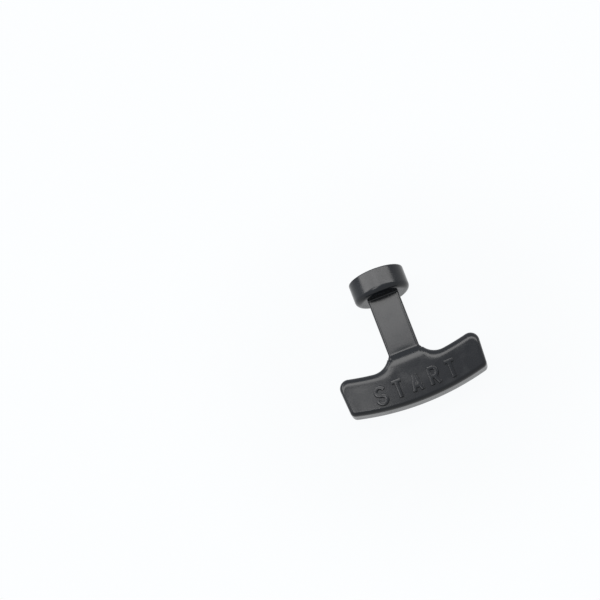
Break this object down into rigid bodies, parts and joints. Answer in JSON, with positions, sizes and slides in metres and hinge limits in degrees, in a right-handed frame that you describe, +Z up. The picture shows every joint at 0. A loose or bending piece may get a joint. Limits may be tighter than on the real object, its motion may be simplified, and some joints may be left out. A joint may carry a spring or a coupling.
{
  "type": "recoil starter handle",
  "caption": "Moulded pull handle for a recoil starter: curved bar, flat shank and thick round flange with a cord bore along the shank.",
  "frame": {"origin": "centre of the underside of the bounding box, on the floor that the handle lies on", "axes": "+X along the bar, +Y from the bar towards the flange, +Z up; the shank leans up towards the flange by 7.8 degrees"},
  "size_m": [0.0778, 0.0752, 0.0316],
  "materials": {
    "black_plastic": "satin"
  },
  "bodies": {
    "root": {"handle": "black_plastic"}
  },
  "joints": []
}
